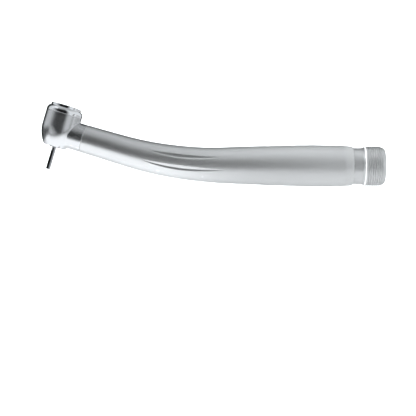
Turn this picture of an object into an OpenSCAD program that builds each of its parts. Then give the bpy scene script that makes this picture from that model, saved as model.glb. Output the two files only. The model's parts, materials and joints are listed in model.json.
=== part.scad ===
// High speed air-turbine dental handpiece: push-button head, bent handle,
// light generator in the rear, four-port rear connector with its outer thread.
//
// Frame: the origin is the centre of the rear face. +X runs out of the rear,
// along the handle's rear axis. +Z is the side the push button is on.
// The head sits at -X, where the neck has turned up by bend_angle.

/* [Handle] */
// Greatest diameter of the handle, near its rear end
handle_d = 15.0; // [14.8:0.1:15.4]
// Diameter of the handle where it meets the head's neck
neck_d = 10.2; // [10.1:0.05:10.4]
// Angle that the neck makes with the rear of the handle
bend_angle = 16.2; // [14:0.1:18]
// Radius of the bend's centre line
bend_r = 134; // [124:1:144]
// Length from the bend's corner to the rear face
rear_len = 76.75; // [75:0.05:80]
// Length from the bend's corner to the rotor's axis
front_len = 42.8; // [42:0.1:45]
// Depth of the finger grooves at their middle
groove_depth = 0.38; // [0.2:0.01:0.5]

/* [Head] */
// Outer diameter of the head
head_d = 13.2; // [13.0:0.1:13.4]
// Distance from the neck's axis down to the head's bottom face
head_low = 5.84; // [5.8:0.01:5.95]
// Distance from the neck's axis up to the head's top edge, under the cap
head_top = 6.48; // [6.4:0.01:6.6]
// Diameter of the turbine chamber
chamber_d = 10.0; // [9.8:0.1:10.2]
// Outer diameter of the turbine wheel
wheel_d = 9.4; // [9:0.1:9.5]
// Number of turbine blades
blades = 10; // [8:1:12]

/* [Push button] */
// Diameter of the push button
button_d = 11.0; // [10.7:0.1:11.0]
// Rise of the button's dome above its edge
dome_h = 0.12; // [0.05:0.01:0.2]

/* [Chuck and bur] */
// Diameter of a friction grip bur shank
bur_d = 1.6; // [1.59:0.01:1.6]
// Length of the test bur that shows below the head
bur_out = 8.42; // [6:0.01:12]
// Length of the test bur held inside the head
bur_in = 7.24; // [6.5:0.01:7.24]

/* [Bearings] */
// Outer diameter of the ball bearings
bearing_od = 6.35; // [6.35:0.01:6.35]
// Bore of the ball bearings
bearing_id = 3.175; // [3.175:0.001:3.175]
// Width of the ball bearings
bearing_w = 2.4; // [2.38:0.01:2.4]
// Number of balls in each bearing
ball_count = 8; // [7:1:8]
// Diameter of a ball
ball_d = 0.8; // [0.79:0.01:0.8]

/* [Rear connector] */
// Crest diameter of the connector's threaded ring
thread_d = 14.3; // [14.2:0.02:14.4]
// Pitch of the connector's thread (32 turns an inch)
thread_pitch = 0.794; // [0.794:0.001:0.8]
// Number of thread grooves
thread_count = 7; // [5:1:7]
// Diameter of the connector's plain waist
waist_d = 13.08; // [12.9:0.02:13.2]
// Diameter of the recess in the connector's rear face
recess_d = 10.0; // [9.9:0.02:10.1]
// Diameter of the drive air port tube
drive_d = 2.5; // [2.4:0.02:2.5]
// Diameter of the exhaust port tube
exhaust_d = 2.6; // [2.4:0.02:2.6]
// Diameter of the water and chip air port tubes
spray_d = 1.2; // [1.1:0.02:1.2]

/* [Hidden] */
$fn = 96;

// ---- The handle's centre line -------------------------------------------
// "along" is the distance from the rotor's axis, measured on the centre line.
corner_x = -rear_len;
bend_end_x = corner_x + bend_r * tan(bend_angle / 2);   // where the bend meets the rear axis
head_x = corner_x - front_len * cos(bend_angle);        // rotor's axis on the neck's axis
head_z = front_len * sin(bend_angle);
neck_len = front_len - bend_r * tan(bend_angle / 2);    // rotor's axis to the bend
bend_len = bend_r * bend_angle * PI / 180;
bend_end_along = neck_len + bend_len;
seam_along = 9.15;                                      // the handle's front edge
shell_end_x = -11.65;

// ---- Lines of tubes and wires, as [y, z] places -------------------------
drive_place = [0, -1.5];
water_place = [-2.2, 1.8];
chip_place = [2.2, 1.8];
exhaust_place = [0, 3.1];
wire_places = [[-0.45, -3.1], [0.45, -3.1]];
drive_tube_r = 1.3;
drive_tube_bore_r = 1.0;
spray_tube_r = 0.5;
wire_r = 0.2;
collar_r = 1.5;                // stout part of the drive and exhaust port tubes
spray_port_r = spray_d / 2;

// ---- Fits shared between pieces -----------------------------------------
head_r = head_d / 2;
bur_r = bur_d / 2;
front_bearing_z = -3.7;        // bearing centres, from the neck's axis
rear_bearing_z = 3.4;
bearing_seat_r = bearing_od / 2 + 0.1;
ring_groove_r = 3.86;          // O-ring grooves around the bearings
ring_groove_half = 0.4;
cap_seat_r = 5.6;
manifold_bore_r = 3.6;
clamp_bore_r = 5.3;            // handle's bore around the tube clamp
rear_bore_r = 6.3;             // handle's bore around the connector
screw_x = -41.75;              // locating screw on the top of the handle
screw_r = 1.0;

// ---- Frames -------------------------------------------------------------
// Origin where the rotor's axis meets the neck's axis: +x runs down the neck
// to the handle, +z up the rotor's axis to the push button.
module head_frame()
  translate([head_x, 0, head_z]) rotate([0, bend_angle, 0]) children();

// A line parallel to x through a [y, z] place: local z becomes +x.
module along_x(place = [0, 0])
  translate([0, place[0], place[1]]) rotate([0, 90, 0]) children();

// Copies spaced evenly around z, moved out by radius.
module around(count, radius = 0)
  for (i = [0:count - 1]) rotate([0, 0, 360 * i / count]) translate([radius, 0, 0]) children();

// ---- Solids of revolution and rods --------------------------------------
module ring(inner, outer, z0, z1)
  translate([0, 0, z0]) rotate_extrude() translate([inner, 0]) square([outer - inner, z1 - z0]);

module rod(radius, z0, z1)
  translate([0, 0, z0]) cylinder(r = radius, h = z1 - z0);

module torus(centre_r, section_r, z)
  translate([0, 0, z]) rotate_extrude() translate([centre_r, 0]) circle(section_r, $fn = 32);

// Profile points are [radius, height along the axis].
module turned(profile)
  rotate_extrude() polygon(profile);

// Rods parallel to x. Rows: [[y, z], radius, start x, end x].
module x_rods(rows)
  for (row = rows) along_x(row[0]) rod(row[1], row[2], row[3]);

// Straight rods between two points. Rows: [start, end, radius].
module slant_rods(rows)
  for (row = rows) {
    span = row[1] - row[0];
    translate(row[0])
      rotate([0, acos(span[2] / norm(span)), atan2(span[1], span[0])])
        cylinder(r = row[2], h = norm(span));
  }

module disc(radius, bore_r)
  difference() {
    circle(radius);
    if (bore_r > 0) circle(bore_r);
  }

// A round tube, or a rod when bore_r is 0, that follows the handle's centre line.
module path_tube(place, radius, bore_r, start_along, end_x)
  union() {
    head_frame() translate([start_along, place[0], place[1]]) rotate([0, 90, 0])
      linear_extrude(neck_len - start_along) disc(radius, bore_r);
    translate([bend_end_x, 0, bend_r]) rotate([90, 0, 0])
      rotate_extrude(angle = bend_angle, start = -90 - bend_angle)
        translate([bend_r - place[1], -place[0]]) disc(radius, bore_r);
    translate([bend_end_x, place[0], place[1]]) rotate([0, 90, 0])
      linear_extrude(end_x - bend_end_x) disc(radius, bore_r);
  }

// One V of a thread cut in a profile, going down from top.
function vee(radius, top, depth, width) =
  [[radius, top], [radius - depth, top - width / 2], [radius, top - width]];

// ---- Skinned solids -----------------------------------------------------
// Faces over rings of points; closed joins the last ring to the first.
function skin_faces(rings, sides, closed = false) = concat(
  [for (i = [0:rings - (closed ? 1 : 2)]) for (j = [0:sides - 1])
    let (next = (j + 1) % sides, here = i * sides, there = ((i + 1) % rings) * sides)
      each [[here + j, here + next, there + next], [here + j, there + next, there + j]]],
  closed ? [] : [
    [for (j = [sides - 1:-1:0]) j],
    [for (j = [0:sides - 1]) (rings - 1) * sides + j]]);

// A helical wire of radius wire: coil radius r0 to r1, height z0 to z1.
module coil(r0, r1, z0, z1, turns, wire, per_turn) {
  steps = ceil(turns * per_turn);
  sides = 6;
  points = [for (i = [0:steps])
    let (part = i / steps,
         turn = 360 * turns * part,
         coil_r = r0 + (r1 - r0) * part,
         z = z0 + wire + (z1 - z0 - 2 * wire) * part)
      for (j = [0:sides - 1])
        let (side = 360 * j / sides, radius = coil_r + wire * cos(side))
          [radius * cos(turn), radius * sin(turn), z + wire * sin(side)]];
  polyhedron(points, skin_faces(steps + 1, sides), convexity = 6);
}

// =========================================================================
// Head
// =========================================================================
belly_top_z = 1.6;             // the head is straight above, and curves in below
belly_low_z = -head_low + 0.22;
belly_curve_r = 11.74;
mixing_ring_z = -3.75;
led_place = [6.2, 0, -5.3];    // where the light's axis leaves the neck
led_tilt = 33;                 // aims it at the bur's tip

function belly_r(z) = z > belly_top_z ? head_r :
  head_r - (belly_curve_r - sqrt(belly_curve_r * belly_curve_r - pow(belly_top_z - z, 2)));

module head_envelope() {
  turned(concat(
    [[0, head_top], [0, -head_low], [belly_r(-head_low) - 0.25, -head_low],
     [belly_r(-head_low) - 0.05, -head_low + 0.08]],
    [for (i = [0:15]) let (z = belly_low_z + (belly_top_z - belly_low_z) * i / 15)
      [belly_r(z), z]],
    [[head_r, head_top]]));
  along_x() rod(neck_d / 2 - 0.02, 0, seam_along);
}

module led_axis()
  translate(led_place) rotate([0, led_tilt, 0]) children();

// Each nozzle leans in, towards the bur's tip.
module at_nozzles()
  for (angle = [60, 180, 300])
    rotate([0, 0, angle]) translate([3.95, 0, -5.6]) rotate([0, 14, 0]) children();

module head_housing() color("silver") head_frame() difference() {
  union() {
    head_envelope();
    along_x() rod(4.3, 0, 13.4);
  }
  // turbine chamber and cap seat
  rod(chamber_d / 2, -2.35, 2.4);
  rod(cap_seat_r, 2.3, head_top + 1);
  // front bearing seat with its O-ring groove, nose opening
  rod(bearing_seat_r, -5.15, -2);
  ring(3, ring_groove_r, front_bearing_z - ring_groove_half, front_bearing_z + ring_groove_half);
  rod(2.0, -head_low - 1, -5);
  // bore for the manifold, open to the handle
  along_x() rod(manifold_bore_r, 7.5, 14.5);
  // groove for the neck O-ring
  along_x() difference() {
    rod(5, 11, 11.7);
    rod(3.88, 10, 13);
  }
  slant_rods([
    [[8.2, -1.2, -1.3], [2.8, -3.7, 0], 0.7],                  // drive air jet
    [[8.2, 0.6, 1.1], [3.6, 2.4, 0.6], 1.05],                  // exhaust way
    [[8.2, -2.1, -2.2], [4.0, -2.25, mixing_ring_z], 0.3]]);   // spray feed
  // mixing ring that feeds the spray nozzles
  torus(4.7, 0.3, mixing_ring_z);
  at_nozzles() cylinder(r = 0.37, h = 2.4);
  // pocket for the light
  led_axis() rod(1.13, -2, 2.75);
}

module spray_nozzles() color("gainsboro") head_frame() at_nozzles() difference() {
  rod(0.35, 0.42, 1.5);
  rod(0.16, 0, 3);
}

module dust_ring() color("dimgray") head_frame() turned([
  [1.3, -head_low - 0.16], [1.8, -head_low - 0.16], [1.97, -head_low - 0.04],
  [1.97, -5.2], [1.3, -5.2]]);

module led_lens() color([0.9, 0.95, 1, 0.5]) head_frame() intersection() {
  led_axis() rod(1.1, -2, 0.9);
  translate([0, 0, 0.02]) head_envelope();
}

// A hollow-ended can, with the two wires that leave it towards the handle.
module led_module() color("gold") head_frame() {
  difference() {
    led_axis() rod(1.08, 0.95, 2.0);
    led_axis() rod(0.75, 0, 1.3);
  }
  x_rods([for (place = wire_places) [place, wire_r, 6.6, 7.95]]);
}

// =========================================================================
// Cap and push button
// =========================================================================
cap_top = 8.65;
cap_thread_r = cap_seat_r - 0.02;
button_r = button_d / 2;
button_well_r = button_r + 0.1;
button_edge_z = 9.61;          // where the dome starts to rise

module back_cap() color("white") head_frame() turned(concat(
  // button's hole and well, then the rounded outside
  [[1.0, 6.2], [1.0, 6.8], [button_well_r, 6.8], [button_well_r, cap_top],
   [head_r - 0.92, cap_top], [head_r - 0.66, cap_top - 0.1],
   [head_r - 0.38, cap_top - 0.36], [head_r - 0.14, cap_top - 0.75],
   [head_r, cap_top - 1.2], [head_r, head_top + 0.1],
   [head_r - 0.08, head_top + 0.02], [cap_thread_r, head_top + 0.02]],
  // thread that screws into the head
  [for (i = [0:5]) each vee(cap_thread_r, 6.1 - 0.5 * i, 0.18, 0.24)],
  // rear bearing seat with its O-ring groove
  [[cap_thread_r, 2.35], [bearing_seat_r, 2.35],
   [bearing_seat_r, rear_bearing_z - ring_groove_half],
   [ring_groove_r, rear_bearing_z - ring_groove_half],
   [ring_groove_r, rear_bearing_z + ring_groove_half],
   [bearing_seat_r, rear_bearing_z + ring_groove_half],
   [bearing_seat_r, 4.68], [2.6, 4.68], [2.6, 6.2]]));

module push_button() color("whitesmoke") head_frame() turned([
  // stem, with the circlip's groove
  [0, 4.95], [0.7, 4.95], [0.88, 5.1], [0.88, 5.83], [0.72, 5.83], [0.72, 6.12],
  [0.88, 6.12], [0.88, 8.35],
  // edge and dome
  [button_r - 0.15, 8.35], [button_r, 8.5], [button_r, 9.3], [button_r - 0.06, 9.48],
  [button_r - 0.22, 9.58], [button_r - 1.2, button_edge_z + dome_h * 0.4],
  [2.6, button_edge_z + dome_h * 0.82], [1.2, button_edge_z + dome_h * 0.97],
  [0, button_edge_z + dome_h]]);

module button_circlip() color("slategray") head_frame() difference() {
  ring(0.74, 1.55, 5.86, 6.08);
  translate([0.3, -0.3, 5]) cube([2, 0.6, 2]);
}

module button_spring() color("lightsteelblue") head_frame()
  coil(r0 = 3.4, r1 = 2.6, z0 = 6.83, z1 = 8.32, turns = 2.5, wire = 0.18, per_turn = 22);

// =========================================================================
// Rotor and chuck
// =========================================================================
spindle_r = bearing_id / 2 - 0.01;   // where the bearings sit
collet_bore_r = bur_r + 0.02;
bur_tip_z = -head_low - bur_out;
bur_end_z = bur_in - head_low;
bur_groove_r = bur_r - 0.18;

module spindle() color("lightgray") head_frame() turned([
  [0.86, -head_low - 0.1], [1.08, -head_low - 0.1], [1.15, -head_low], [1.15, -5.0],
  [spindle_r, -4.95], [spindle_r, -2.46], [1.95, -2.46], [1.95, -2.06], [spindle_r, -2.06],
  [spindle_r, 4.68], [1.45, 4.75], [1.2, 4.75], [1.2, -4.2], [0.86, -4.2]]);

// One face of a blade: from radius r0 to r1 while it turns from angle0 to angle1.
function blade_face(r0, r1, angle0, angle1) = [for (i = [0:7])
  let (part = i / 7,
       radius = r0 + (r1 - r0) * part,
       angle = angle0 + (angle1 - angle0) * part * part)
    [radius * cos(angle), radius * sin(angle)]];

module impeller() color("goldenrod") head_frame() difference() {
  union() {
    rod(2.35, -2.0, 2.15);
    rod(3.6, -0.25, 0.25);
    around(blades) translate([0, 0, -2.0]) linear_extrude(4.0)
      polygon(concat(blade_face(2.2, wheel_d / 2, 0, 26), blade_face(wheel_d / 2, 2.2, 31, 16)));
  }
  rod(bearing_id / 2, -3, 3);
}

module collet() color("lightslategray") head_frame() difference() {
  turned([[collet_bore_r, -4.1], [1.18, -4.1], [1.18, 2.0], [1.05, 2.0], [collet_bore_r, 1.5]]);
  // three slots straight across, six jaws
  for (angle = [0, 60, 120])
    rotate([0, 0, angle]) translate([-2, -0.12, -0.8]) cube([4, 0.24, 4]);
}

module chuck_pusher() color("silver") head_frame() turned([
  [0, 2.15], [0.6, 2.15], [0.93, 2.9], [1.15, 2.92], [1.15, 4.3], [1.05, 4.4], [0, 4.4]]);

module chuck_spring() color("lightsteelblue") head_frame()
  coil(r0 = 1.07, r1 = 1.07, z0 = 2.03, z1 = 2.89, turns = 3, wire = 0.06, per_turn = 16);

module test_bur() color("dimgray") head_frame() turned([
  [0, bur_tip_z], [bur_r - 0.08, bur_tip_z], [bur_r, bur_tip_z + 0.08],
  // shallow groove where the shank enters the head
  [bur_r, -head_low - 0.44], [bur_r - 0.12, -head_low - 0.4], [bur_groove_r, -head_low - 0.2],
  [bur_groove_r, -head_low + 0.3], [bur_r, -head_low + 0.36],
  [bur_r, bur_end_z - 0.2], [bur_r - 0.25, bur_end_z], [0, bur_end_z]]);

// =========================================================================
// Ball bearings: the front one is by the bur, the rear one by the button
// =========================================================================
race_pitch_r = (bearing_od + bearing_id) / 4;
race_groove_r = ball_d / 2 + 0.02;

module at_front_bearing() head_frame() translate([0, 0, front_bearing_z]) children();
module at_rear_bearing() head_frame() translate([0, 0, rear_bearing_z]) children();

// The shield's side: +1 faces up, -1 faces down.
module facing(side)
  mirror([0, 0, side < 0 ? 1 : 0]) children();

module outer_race(side) difference() {
  ring(2.72, bearing_od / 2, -bearing_w / 2, bearing_w / 2);
  torus(race_pitch_r, race_groove_r, 0);
  facing(side) ring(2, 2.9, 0.94, 3);
}

module inner_race() difference() {
  ring(bearing_id / 2, 2.04, -bearing_w / 2, bearing_w / 2);
  torus(race_pitch_r, race_groove_r, 0);
}

module cage() difference() {
  ring(2.12, 2.64, -0.7, 0.7);
  around(ball_count, 1.8) rotate([0, 90, 0]) cylinder(r = ball_d / 2 + 0.03, h = 1.2);
}

module balls() around(ball_count, race_pitch_r) sphere(r = ball_d / 2);
module shield(side) facing(side) ring(2.12, 2.88, 0.96, 1.08);
module bearing_o_ring() torus(3.52, 0.32, 0);

module front_outer_race() color("lightgray") at_front_bearing() outer_race(-1);
module front_inner_race() color("lightgray") at_front_bearing() inner_race();
module front_cage() color("peru") at_front_bearing() cage();
module front_balls() color("white") at_front_bearing() balls();
module front_shield() color("silver") at_front_bearing() shield(-1);
module front_o_ring() color("darkslategray") at_front_bearing() bearing_o_ring();
module rear_outer_race() color("lightgray") at_rear_bearing() outer_race(1);
module rear_inner_race() color("lightgray") at_rear_bearing() inner_race();
module rear_cage() color("peru") at_rear_bearing() cage();
module rear_balls() color("white") at_rear_bearing() balls();
module rear_shield() color("silver") at_rear_bearing() shield(1);
module rear_o_ring() color("darkslategray") at_rear_bearing() bearing_o_ring();

// Three-wave spring washer under the front bearing.
module wave_washer() color("lightsteelblue") head_frame() {
  steps = 36;
  section = [[2.5, -0.035], [3.1, -0.035], [3.1, 0.035], [2.5, 0.035]];   // [radius, z]
  points = [for (i = [0:steps - 1])
    let (angle = 360 * i / steps, z = -5.025 + 0.06 * cos(3 * angle))
      for (corner = section) [corner[0] * cos(angle), corner[0] * sin(angle), z + corner[1]]];
  polyhedron(points, skin_faces(steps, len(section), closed = true), convexity = 4);
}

// =========================================================================
// Handle
// =========================================================================
// A point beside the centre line, y and z across it.
function path_point(along, y, z) =
  along <= neck_len ?
    [head_x + along * cos(bend_angle) + z * sin(bend_angle), y,
     head_z - along * sin(bend_angle) + z * cos(bend_angle)] :
  along <= bend_end_along ?
    let (turn = bend_angle * (1 - (along - neck_len) / bend_len))
      [bend_end_x - (bend_r - z) * sin(turn), y, bend_r - (bend_r - z) * cos(turn)] :
  [bend_end_x + along - bend_end_along, y, z];

// [along, how far the diameter has grown from neck_d (0) to handle_d (1)]
growth = [
  [8.95, 0], [24, 0.10], [40, 0.305], [54, 0.48],
  [68, 0.715], [82, 0.90], [93, 1.0], [104.5, 0.935]];

function span_of(along, i = 0) =
  i >= len(growth) - 2 || along < growth[i + 1][0] ? i : span_of(along, i + 1);
function slope_at(i) =
  let (before = growth[max(i - 1, 0)], after = growth[min(i + 1, len(growth) - 1)])
    (after[1] - before[1]) / (after[0] - before[0]);
// Smooth cubic (Hermite) curve through the growth table.
function grown(along) =
  let (i = span_of(along), start = growth[i], end = growth[i + 1],
       length = end[0] - start[0], t = (along - start[0]) / length)
    (2*t*t*t - 3*t*t + 1) * start[1] + (t*t*t - 2*t*t + t) * length * slope_at(i)
    + (3*t*t - 2*t*t*t) * end[1] + (t*t*t - t*t) * length * slope_at(i + 1);
function handle_r(along) = (neck_d + (handle_d - neck_d) * grown(along)) / 2;

// Finger grooves, each a crescent between two edges. Angles go up from the side.
// [start along, end along, upper edge angle, its rise, lower edge angle, its drop]
crescents = [
  [34.2, 60.5, 24, 4.7, 23.5, 11.5],
  [32.2, 61.3, -16.5, 5, -17.5, 12]];

// Depth across a crescent, 0 to 1, from its upper edge (0) to its lower edge (1).
function hollow(across) =
  across <= 0 || across >= 1 ? 0 :
  across < 0.62 ? (1 - cos(180 * across / 0.62)) / 2 : cos(90 * (across - 0.62) / 0.38);
function crescent_depth(row, along, angle) =
  along <= row[0] || along >= row[1] ? 0 :
  let (part = (along - row[0]) / (row[1] - row[0]),
       skewed = sin(180 * pow(part, 0.8)),
       top = row[2] + row[3] * sin(180 * part),
       low = row[4] - row[5] * skewed)
    groove_depth * skewed * hollow((top - angle) / (top - low));
// Both sides of the handle are alike, so the angle is folded onto one side.
function groove(along, angle) =
  let (folded = cos(angle) < 0 ? 180 - angle : angle > 180 ? angle - 360 : angle)
    crescent_depth(crescents[0], along, folded) + crescent_depth(crescents[1], along, folded);

// Angles around the handle, closer together over the finger grooves.
sweep_angles = concat(
  [for (angle = [-38:4:34]) angle], [for (angle = [48:14:132]) angle],
  [for (angle = [146:4:218]) angle], [for (angle = [231:13:309]) angle]);
sweep_end_along = bend_end_along + 2.2;
revolve_x = bend_end_x + 2.0;

// The front and the bend of the handle; its last ring hides inside the turned rear.
module handle_sweep() {
  rings = 25;
  points = [for (i = [0:rings - 1])
    let (along = seam_along + (sweep_end_along - seam_along) * i / (rings - 1),
         inset = i == rings - 1 ? 0.02 : 0)
      for (angle = sweep_angles)
        let (radius = handle_r(along) - groove(along, angle) - inset)
          path_point(along, -radius * cos(angle), radius * sin(angle))];
  polyhedron(points, skin_faces(rings, len(sweep_angles)), convexity = 4);
}

module handle_shell() color("silver") difference() {
  union() {
    handle_sweep();
    // the straight rear of the handle, a true turned form
    along_x() turned(concat(
      [[0, revolve_x]],
      [for (i = [0:15]) let (x = revolve_x + (shell_end_x - 3.1 - revolve_x) * i / 15)
        [handle_r(bend_end_along + x - bend_end_x), x]],
      [[7.03, shell_end_x - 0.25], [6.92, shell_end_x], [0, shell_end_x]]));
  }
  // stepped bore
  path_tube([0, 0], 4.35, 0, seam_along - 1, bend_end_x + 1);
  along_x() rod(clamp_bore_r, bend_end_x, -39.8);
  along_x() rod(rear_bore_r, -40.2, 0);
  // seat for the locating screw, and the flat beside it
  translate([screw_x, 0, 0]) rod(screw_r + 0.03, 4, 9);
  translate([screw_x - 1.2, -3, 6.97]) rotate([0, -2.6, 0]) cube([12, 6, 2]);
}

module neck_manifold() color("lightgray") head_frame() difference() {
  along_x() rod(manifold_bore_r - 0.03, 8.0, 12.4);
  x_rods([
    // sockets for the three tubes
    [drive_place, drive_tube_r + 0.02, 9.4, 14.4],
    [water_place, spray_tube_r + 0.02, 9.4, 14.4],
    [chip_place, spray_tube_r + 0.02, 9.4, 14.4],
    // water and chip air ways
    [water_place, 0.28, 7.5, 10],
    [chip_place, 0.28, 7.5, 10]]);
  slant_rods([
    [[7.5, -1.0, -1.35], [10, -0.2, -1.5], 0.8],     // drive air way
    [[7.5, 0.35, 1.2], [13, 0.1, 1.2], 1.0]]);       // exhaust way
  x_rods([for (place = wire_places) [place, wire_r + 0.04, 7.5, 13]]);
}

module neck_o_ring() color("darkslategray") head_frame() along_x() torus(4.12, 0.22, 11.35);

module spray_tube(place) path_tube(place, spray_tube_r, 0.3, 9.5, -9.0);
module water_tube() color("lightsteelblue") spray_tube(water_place);
module chip_air_tube() color("lightsteelblue") spray_tube(chip_place);
module drive_air_tube() color("goldenrod")
  path_tube(drive_place, drive_tube_r, drive_tube_bore_r, 9.5, -38.5);
module led_wires() color("firebrick")
  for (place = wire_places) path_tube(place, wire_r, 0, 8.0, -35.0);

module tube_clamp() color("lightgray") difference() {
  along_x() rod(clamp_bore_r - 0.03, -43.2, -40.3);
  // [[y, z], radius] of the holes right through
  for (hole = [
    [drive_place, drive_tube_r + 0.03],
    [water_place, spray_tube_r + 0.03],
    [chip_place, spray_tube_r + 0.03],
    [wire_places[0], wire_r + 0.03],
    [wire_places[1], wire_r + 0.03],
    [[-3.6, -1.0], 1.0],
    [[3.6, -1.0], 1.0],
    [[0, 1.8], 1.1]])
    along_x(hole[0]) rod(hole[1], -50, -30);
  translate([screw_x, 0, 0]) rod(screw_r + 0.02, 3.6, 8.6);
}

module locating_screw() color("gray") translate([screw_x, 0, 0]) difference() {
  turned([[0, 3.7], [screw_r - 0.2, 3.7], [screw_r, 3.9], [screw_r, 6.78],
    [screw_r - 0.1, 6.88], [0, 6.88]]);
  // hexagon socket
  translate([0, 0, 5.9]) cylinder(r = 0.52, h = 2, $fn = 6);
}

// =========================================================================
// Rear connector
// =========================================================================
// [depth from the rear face, radius]
nose = [[0, 5.75], [0.2, 6.28], [0.94, 6.76], [1.67, 7.06], [2.1, thread_d / 2],
  [9, thread_d / 2]];
connector_bore_r = 5.4;
connector_fit_r = rear_bore_r - 0.02;
recess_floor_x = -4.2;
gasket_face_x = -3.2;

function nose_r(x) = lookup(-x, nose);
function thread_groove(x) = [
  [nose_r(x + 0.22), x + 0.22], [nose_r(x) - 0.28, x + 0.04],
  [nose_r(x) - 0.28, x - 0.04], [nose_r(x - 0.22), x - 0.22]];

module connector_body() color("silver") along_x() turned(concat(
  [[recess_d / 2, 0]],
  [for (i = [0:2]) [nose[i][1], -nose[i][0]]],
  [for (i = [0:thread_count - 1]) each thread_groove(-1.6 - thread_pitch * i)],
  // shoulder and waist
  [[thread_d / 2, -7.2], [thread_d / 2 - 0.12, -7.5], [waist_d / 2 + 0.2, -8.02],
   [waist_d / 2, -8.4], [waist_d / 2, shell_end_x + 0.02],
   [connector_fit_r, shell_end_x + 0.02]],
  // screw thread inside the handle's rear end
  [for (i = [0:3]) each vee(connector_fit_r, -12.8 - 0.6 * i, 0.2, 0.3)],
  // O-ring groove, front end, bore and recess
  [[connector_fit_r, -16.1], [5.76, -16.1], [5.76, -16.8], [connector_fit_r, -16.8],
   [connector_fit_r, -18.8], [6.1, -19.0], [connector_bore_r, -19.0],
   [connector_bore_r, recess_floor_x], [recess_d / 2, recess_floor_x]]));

module connector_o_ring() color("darkslategray") along_x() torus(6.03, 0.26, -16.45);

module port_block() color("lightgray") difference() {
  along_x() rod(connector_bore_r - 0.02, -9.5, recess_floor_x - 0.02);
  x_rods([
    [drive_place, drive_tube_r + 0.02, -10, -8.4],
    [drive_place, collar_r + 0.02, -8.45, -4],
    [exhaust_place, collar_r + 0.02, -10, -4],
    // the water bore is wider in the middle, for the check valve
    [water_place, spray_tube_r + 0.02, -10, -8.9],
    [water_place, 0.45, -9, -6.0],
    [water_place, 0.25, -7, -5],
    [water_place, spray_port_r + 0.02, -5.3, -4],
    [chip_place, spray_tube_r + 0.02, -10, -8.9],
    [chip_place, 0.3, -9, -5],
    [chip_place, spray_port_r + 0.02, -5.3, -4]]);
}

module port_gasket() color("mediumseagreen") difference() {
  along_x() rod(recess_d / 2 - 0.05, recess_floor_x, gasket_face_x);
  x_rods([for (place = [drive_place, exhaust_place]) [place, collar_r + 0.03, -5, -3]]);
  x_rods([for (place = [water_place, chip_place]) [place, spray_port_r + 0.03, -5, -3]]);
}

// A port tube: the end that enters the hose, and where stout_r is given
// a stout part held in the block and gasket.
module port_tube(place, radius, bore_r, start_x, stout_r = 0) along_x(place) difference() {
  union() {
    rod(radius, start_x, -1.15);
    translate([0, 0, -1.15]) cylinder(r1 = radius, r2 = radius - 0.12, h = 0.15);
    if (stout_r > 0) rod(stout_r, start_x, gasket_face_x);
  }
  rod(bore_r, start_x - 1, 1);
}

module drive_port_tube() color("silver")
  port_tube(drive_place, drive_d / 2, 0.95, -8.3, collar_r);
module exhaust_port_tube() color("silver")
  port_tube(exhaust_place, exhaust_d / 2, 1.05, -9.0, collar_r);
module water_port_tube() color("silver") port_tube(water_place, spray_port_r, 0.35, -5.25);
module chip_port_tube() color("silver") port_tube(chip_place, spray_port_r, 0.35, -5.25);

module drive_inlet_tube() color("goldenrod") along_x(drive_place) difference() {
  rod(drive_tube_r, -20.5, -8.95);
  rod(drive_tube_bore_r, -21, -8);
}

module drive_filter() color("gray") along_x(drive_place) difference() {
  rod(1.28, -8.9, -8.6);
  rod(0.2, -10, -8);
  around(6, 0.62) rod(0.2, -10, -8);
}

module check_valve_ball() color("firebrick")
  translate([-6.3, water_place[0], water_place[1]]) sphere(r = 0.38);
module check_valve_spring() color("lightsteelblue") along_x(water_place)
  coil(r0 = 0.33, r1 = 0.33, z0 = -8.85, z1 = -6.72, turns = 4, wire = 0.06, per_turn = 14);

// =========================================================================
// Light generator, on the drive air's line
// =========================================================================
shaft_r = 0.5;
bush_seat_r = 0.9;
drive_fit_r = drive_tube_r + 0.02;

module air_holes(start_x, end_x) around(6, 1.95) rod(0.42, start_x, end_x);

module generator_housing() color("slategray") difference() {
  along_x(drive_place) difference() {
    turned([
      [bush_seat_r, -37.0], [2.6, -37.0], [1.0, -38.4], [drive_fit_r, -38.4],
      [drive_fit_r, -39.6], [1.8, -39.6], [3.3, -37.4], [3.3, -21.0], [3.0, -21.0],
      [3.0, -36.0], [bush_seat_r, -36.0]]);
    air_holes(-38, -35);
  }
  x_rods([for (place = wire_places) [place, wire_r + 0.04, -41, -35.5]]);
}

module generator_end_cap() color("slategray") along_x(drive_place) difference() {
  turned([
    [bush_seat_r, -23.2], [2.98, -23.2], [2.98, -20.98], [3.3, -20.98], [3.3, -19.9],
    [3.0, -19.6], [drive_fit_r, -19.6], [drive_fit_r, -20.6], [2.3, -20.6], [2.3, -22.2],
    [bush_seat_r, -22.2]]);
  air_holes(-24, -22);
}

module generator_core() color("dimgray") along_x(drive_place) difference() {
  turned([
    [1.72, -34.9], [2.95, -34.9], [2.95, -34.5], [1.92, -34.5],
    [1.92, -29.5], [2.95, -29.5], [2.95, -29.1], [1.72, -29.1]]);
  around(6, 1.5) translate([0, -0.2, -34]) cube([0.6, 0.4, 4]);
}

// Its outside is ribbed, one rib for each turn of wire.
module generator_coil() color("chocolate") along_x(drive_place) turned(concat(
  [[1.94, -29.55], [1.94, -34.45]],
  [for (i = [0:15]) let (x = -34.4 + 0.3 * i)
    each [[2.74, x], [2.84, x + 0.08], [2.84, x + 0.18], [2.74, x + 0.26]]]));

module generator_magnet() color("darkgray") along_x(drive_place)
  ring(shaft_r + 0.02, 1.5, -34.7, -29.3);
module generator_shaft() color("silver") along_x(drive_place) rod(shaft_r, -36.7, -22.3);

module generator_vane_wheel() color("lightyellow") along_x(drive_place) difference() {
  union() {
    rod(1.05, -27.6, -24.2);
    around(8, 0.8) translate([0, 0, -25.9]) rotate([35, 0, 0])
      translate([0, -0.12, -1.3]) cube([1.75, 0.24, 2.6]);
  }
  rod(shaft_r + 0.02, -30, -20);
}

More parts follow.
